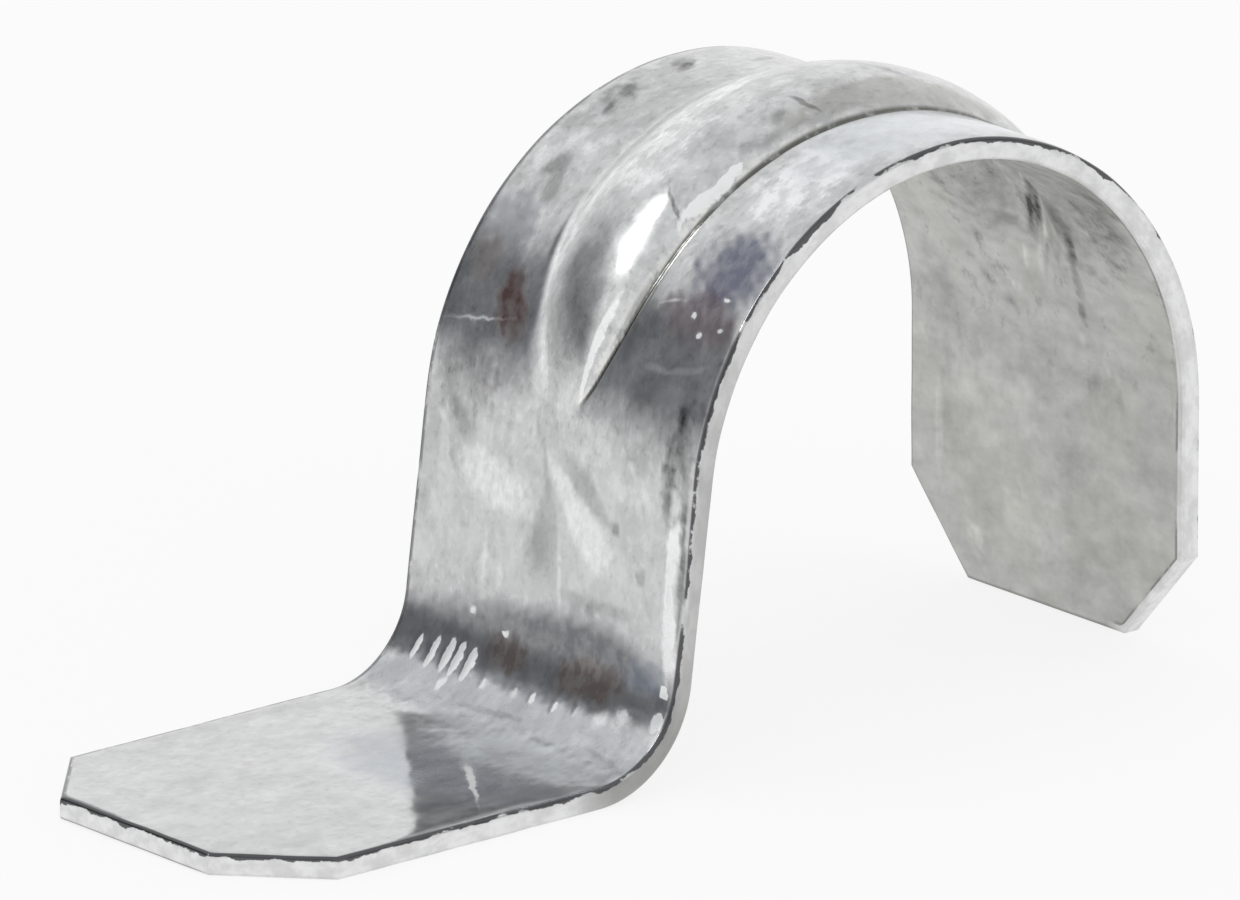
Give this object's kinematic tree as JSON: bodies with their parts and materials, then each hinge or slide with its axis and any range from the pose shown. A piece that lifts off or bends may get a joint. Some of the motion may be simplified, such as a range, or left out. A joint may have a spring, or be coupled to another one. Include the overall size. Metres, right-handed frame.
{
  "type": "pipe strap",
  "caption": "Pipe strap folded from zinc-coated steel sheet, with a beaded half-round arch, a flat foot on one side and a straight free leg on the other.",
  "frame": {"origin": "on the axis of the held pipe, half way across the strap's width", "axes": "+Y along the pipe, +Z away from the wall, the foot points to -X and the free leg is at +X"},
  "size_m": [0.0489, 0.0168, 0.0252],
  "materials": {
    "zinc_sheet": "dull mottled zinc coating on steel sheet"
  },
  "bodies": {
    "root": {"strap": "zinc_sheet"}
  },
  "joints": []
}
